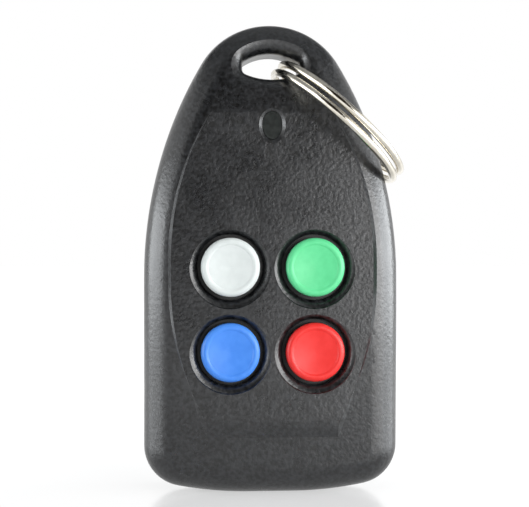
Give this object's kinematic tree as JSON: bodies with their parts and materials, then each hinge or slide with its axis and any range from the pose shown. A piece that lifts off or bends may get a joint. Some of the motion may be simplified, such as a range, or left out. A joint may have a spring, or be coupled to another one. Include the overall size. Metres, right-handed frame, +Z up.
{
  "type": "key-fob remote transmitter",
  "caption": "Pocket remote transmitter with four coloured push buttons, an indicator window and a split ring through its eyelet.",
  "frame": {"origin": "middle of the small flat that the case stands on, on the plane where the two covers meet", "axes": "+Z up the case towards the key ring, +X to the right of someone facing the buttons, -Y out of the face with the buttons"},
  "size_m": [0.0401, 0.0256, 0.0716],
  "materials": {
    "case_plastic": "fine spark-eroded grain",
    "cap_white": "satin",
    "cap_green": "satin",
    "cap_blue": "satin",
    "cap_red": "satin",
    "smoked_window": "clear smoked",
    "red_lamp": "clear moulded",
    "board_laminate": "lacquered",
    "chip_black": "matt moulded",
    "nickel_can": "plated",
    "trimmer_ceramic": "ceramic",
    "antenna_copper": "tinned copper foil",
    "chip_ceramic": "ceramic",
    "battery_jacket": "plain jacket",
    "spring_metal": "nickel plated",
    "screw_steel": "zinc plated",
    "switch_black": "moulded",
    "ring_nickel": "bright nickel plated"
  },
  "bodies": {
    "case": {"front_cover": "case_plastic", "rear_cover": "case_plastic", "case_screws": "screw_steel", "led_window": "smoked_window", "status_led": "red_lamp", "circuit_board": "board_laminate", "encoder_chip": "chip_black", "saw_resonator": "nickel_can", "trimmer_capacitor": "trimmer_ceramic", "transistor": "chip_black", "loop_antenna": "antenna_copper", "chip_components": "chip_ceramic", "battery": "battery_jacket", "battery_contact_positive": "spring_metal", "battery_contact_negative": "spring_metal", "switch_domes": "spring_metal", "switch_base_white": "switch_black", "switch_plate_white": "nickel_can", "switch_base_green": "switch_black", "switch_plate_green": "nickel_can", "switch_base_blue": "switch_black", "switch_plate_blue": "nickel_can", "switch_base_red": "switch_black", "switch_plate_red": "nickel_can"},
    "button_white": {"button_white": "cap_white", "switch_plunger_white": "switch_black"},
    "button_green": {"button_green": "cap_green", "switch_plunger_green": "switch_black"},
    "button_blue": {"button_blue": "cap_blue", "switch_plunger_blue": "switch_black"},
    "button_red": {"button_red": "cap_red", "switch_plunger_red": "switch_black"},
    "key_ring": {"key_ring": "ring_nickel"}
  },
  "joints": [
    {"name": "press_white", "type": "slide", "parent": "case", "child": "button_white", "axis": [0, 1, 0], "range_m": [0, 0.0003], "stiffness_N_per_m": 2000},
    {"name": "press_green", "type": "slide", "parent": "case", "child": "button_green", "axis": [0, 1, 0], "range_m": [0, 0.0003], "stiffness_N_per_m": 2000},
    {"name": "press_blue", "type": "slide", "parent": "case", "child": "button_blue", "axis": [0, 1, 0], "range_m": [0, 0.0003], "stiffness_N_per_m": 2000},
    {"name": "press_red", "type": "slide", "parent": "case", "child": "button_red", "axis": [0, 1, 0], "range_m": [0, 0.0003], "stiffness_N_per_m": 2000},
    {"name": "ring_swing", "type": "hinge", "parent": "case", "child": "key_ring", "pos_m": [0.0014, 0, 0.0649], "axis": [0, -1, 0], "range_deg": [0, 255]}
  ]
}
